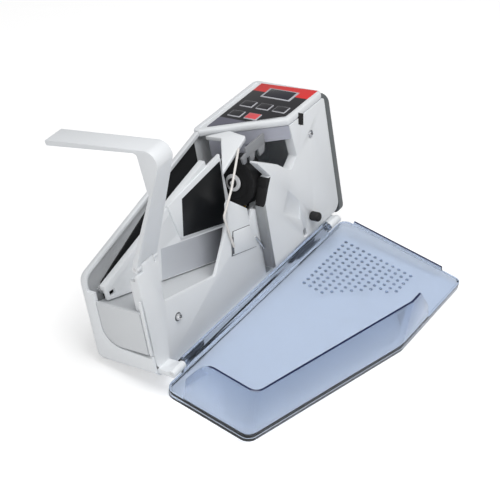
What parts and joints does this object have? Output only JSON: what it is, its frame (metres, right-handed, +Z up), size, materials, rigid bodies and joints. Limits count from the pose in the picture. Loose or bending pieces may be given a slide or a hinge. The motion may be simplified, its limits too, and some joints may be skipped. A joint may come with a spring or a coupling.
{
  "type": "banknote_counter",
  "caption": "Portable banknote counter: leaning white body with open note hopper, feed roller, key panel, note arm and fold-down clear cover tray",
  "frame": {"origin": "bounding box bottom centre, on the surface the feet stand on", "axes": "+X runs along the hinge line from the note arm end to the key panel end, +Y from the cover tray to the back of the body, +Z up from the table"},
  "size_m": [0.2204, 0.2108, 0.1767],
  "materials": {
    "white_plastic": "satin moulded plastic",
    "grey_plastic": "dark grey moulded plastic",
    "black_rubber": "matt black rubber",
    "black_film": "semi-gloss film",
    "red_film": "semi-gloss film",
    "dark_screen": "glossy dark window",
    "tray_plastic": "clear blue tinted plastic",
    "steel": "plain steel",
    "board_green": "solder resist",
    "brass": "plain"
  },
  "bodies": {
    "body": {"rear_shell": "white_plastic", "power_inlet": "grey_plastic", "battery_lid": "white_plastic", "battery_cell_1": "grey_plastic", "battery_cell_2": "grey_plastic", "battery_cell_3": "grey_plastic", "battery_cell_4": "grey_plastic", "hopper_frame": "white_plastic", "front_housing": "white_plastic", "front_cover": "white_plastic", "cover_bumper": "black_rubber", "cover_screw": "steel", "post_screw": "steel", "end_cap": "grey_plastic", "top_cover": "white_plastic", "key_overlay": "black_film", "display_window": "dark_screen", "display_module": "dark_screen", "control_board": "board_green", "inner_wall": "white_plastic", "note_guide": "white_plastic", "plate_pin": "steel", "plate_carrier": "white_plastic", "drive_motor": "steel", "drive_belt": "black_rubber", "bearing_bracket": "white_plastic", "sensor_eye": "grey_plastic", "guide_wire": "steel", "arm_pin": "steel", "right_knuckle": "white_plastic", "foot_front_left": "black_rubber", "foot_front_right": "black_rubber", "foot_rear_left": "black_rubber", "foot_rear_right": "black_rubber"},
    "tray": {"cover_tray": "tray_plastic", "hinge_pin_left": "steel", "hinge_pin_right": "steel"},
    "arm": {"note_arm": "white_plastic"},
    "plate": {"press_plate": "white_plastic", "friction_pad": "black_rubber", "plate_spring": "steel"},
    "roller": {"feed_roller": "black_rubber", "roller_shaft": "steel", "retaining_washer": "steel", "roller_screw": "steel", "roller_pulley": "white_plastic"},
    "motor_wheel": {"motor_pulley": "brass"},
    "key_1": {"key_1": "black_film"},
    "key_2": {"key_2": "black_film"},
    "key_3": {"key_3": "black_film"},
    "key_4": {"key_4": "black_film"},
    "key_5": {"key_5": "red_film"}
  },
  "joints": [
    {"name": "cover_hinge", "type": "hinge", "parent": "body", "child": "tray", "pos_m": [-0.1079, -0.0055, 0.0209], "axis": [-1, 0, 0], "range_deg": [0, 86]},
    {"name": "note_arm_hinge", "type": "hinge", "parent": "body", "child": "arm", "pos_m": [-0.1079, 0.02555, 0.09046], "axis": [-1, 0, 0], "range_deg": [0, 25]},
    {"name": "press_plate_hinge", "type": "hinge", "parent": "body", "child": "plate", "pos_m": [0.0071, 0.02274, 0.00809], "axis": [-0.0059, -0.292, -0.9564], "range_deg": [0, 2.4], "stiffness_Nm_per_rad": 0.4, "springref_deg": -2.86},
    {"name": "roller_spin", "type": "hinge", "parent": "body", "child": "roller", "pos_m": [0.0292, 0.03682, 0.07528], "axis": [0.9659, -0.0626, -0.2511], "continuous": true},
    {"name": "motor_spin", "type": "hinge", "parent": "body", "child": "motor_wheel", "pos_m": [0.02247, 0.03753, 0.04922], "axis": [0.9659, -0.0626, -0.2511], "continuous": true},
    {"name": "key_1_press", "type": "slide", "parent": "body", "child": "key_1", "axis": [0, -0.2419, -0.9703], "range_m": [0, 0.0005], "stiffness_N_per_m": 400},
    {"name": "key_2_press", "type": "slide", "parent": "body", "child": "key_2", "axis": [0, -0.2419, -0.9703], "range_m": [0, 0.0005], "stiffness_N_per_m": 400},
    {"name": "key_3_press", "type": "slide", "parent": "body", "child": "key_3", "axis": [0, -0.2419, -0.9703], "range_m": [0, 0.0005], "stiffness_N_per_m": 400},
    {"name": "key_4_press", "type": "slide", "parent": "body", "child": "key_4", "axis": [0, -0.2419, -0.9703], "range_m": [0, 0.0005], "stiffness_N_per_m": 400},
    {"name": "key_5_press", "type": "slide", "parent": "body", "child": "key_5", "axis": [0, -0.2419, -0.9703], "range_m": [0, 0.0005], "stiffness_N_per_m": 400}
  ],
  "couplings": [
    {"joint": "motor_spin", "follows": "roller_spin", "ratio": 1.8929}
  ]
}
